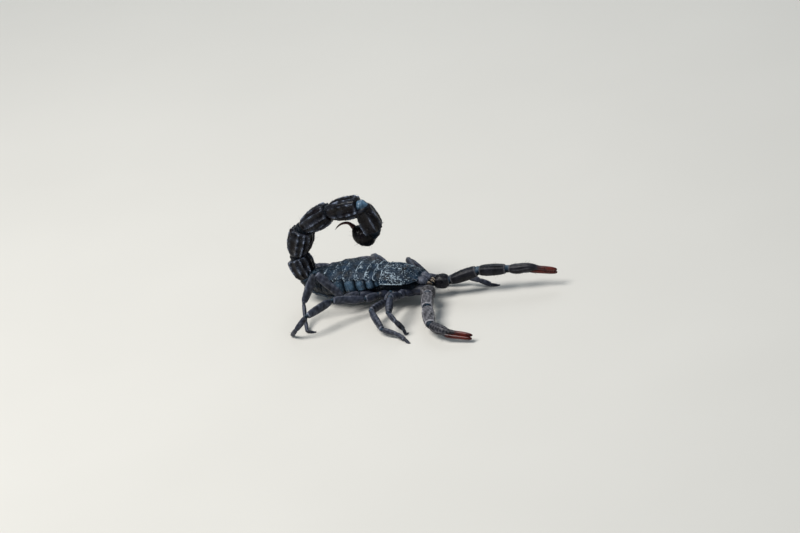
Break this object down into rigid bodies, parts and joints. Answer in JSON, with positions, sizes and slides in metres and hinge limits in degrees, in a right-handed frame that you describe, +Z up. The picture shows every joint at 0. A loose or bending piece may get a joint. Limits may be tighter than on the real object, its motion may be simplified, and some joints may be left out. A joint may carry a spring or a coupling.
{
  "type": "black thick-tailed scorpion model",
  "caption": "Life-size still model of a black thick-tailed scorpion, standing on its legs with pincers reaching forward and the stout tail curled over its back.",
  "frame": {"origin": "centre of the footprint box, on the floor that the feet rest on", "axes": "+X the way the animal faces, +Y its left side, +Z up"},
  "size_m": [0.1192, 0.0654, 0.0431],
  "materials": {
    "body_shell": "satin slate-black cuticle, dusty grey granules",
    "leg_shell": "satin slate-grey cuticle",
    "tail_shell": "glossy black cuticle with keels",
    "membrane": "soft blue-grey joint membrane",
    "finger_and_sting_shell": "glossy dark red-brown cuticle",
    "comb": "dull brown cuticle",
    "eye_lens": "polished black"
  },
  "bodies": {
    "root": {"abdomen_core": "membrane", "arm_left_femur": "body_shell", "arm_left_hand": "body_shell", "arm_left_movable_finger": "finger_and_sting_shell", "arm_left_patella": "body_shell", "arm_right_femur": "body_shell", "arm_right_hand": "body_shell", "arm_right_movable_finger": "finger_and_sting_shell", "arm_right_patella": "body_shell", "carapace": "body_shell", "chelicera_left": "body_shell", "chelicera_right": "body_shell", "comb_left": "comb", "comb_right": "comb", "coxae_and_sternum": "body_shell", "leg_left_1_femur": "leg_shell", "leg_left_1_patella": "leg_shell", "leg_left_1_tarsus": "leg_shell", "leg_left_2_femur": "leg_shell", "leg_left_2_patella": "leg_shell", "leg_left_2_tarsus": "leg_shell", "leg_left_3_femur": "leg_shell", "leg_left_3_patella": "leg_shell", "leg_left_3_tarsus": "leg_shell", "leg_left_4_femur": "leg_shell", "leg_left_4_patella": "leg_shell", "leg_left_4_tarsus": "leg_shell", "leg_right_1_femur": "leg_shell", "leg_right_1_patella": "leg_shell", "leg_right_1_tarsus": "leg_shell", "leg_right_2_femur": "leg_shell", "leg_right_2_patella": "leg_shell", "leg_right_2_tarsus": "leg_shell", "leg_right_3_femur": "leg_shell", "leg_right_3_patella": "leg_shell", "leg_right_3_tarsus": "leg_shell", "leg_right_4_femur": "leg_shell", "leg_right_4_patella": "leg_shell", "leg_right_4_tarsus": "leg_shell", "median_eye_left": "eye_lens", "median_eye_right": "eye_lens", "sternite_3": "body_shell", "sternite_4": "body_shell", "sternite_5": "body_shell", "sternite_6": "body_shell", "sternite_7": "body_shell", "tail_ring_1": "tail_shell", "tail_ring_2": "tail_shell", "tail_ring_3": "tail_shell", "tail_ring_4": "tail_shell", "tail_ring_5": "tail_shell", "telson_sting": "finger_and_sting_shell", "telson_vesicle": "tail_shell", "tergite_1": "body_shell", "tergite_2": "body_shell", "tergite_3": "body_shell", "tergite_4": "body_shell", "tergite_5": "body_shell", "tergite_6": "body_shell", "tergite_7": "body_shell"}
  },
  "joints": []
}
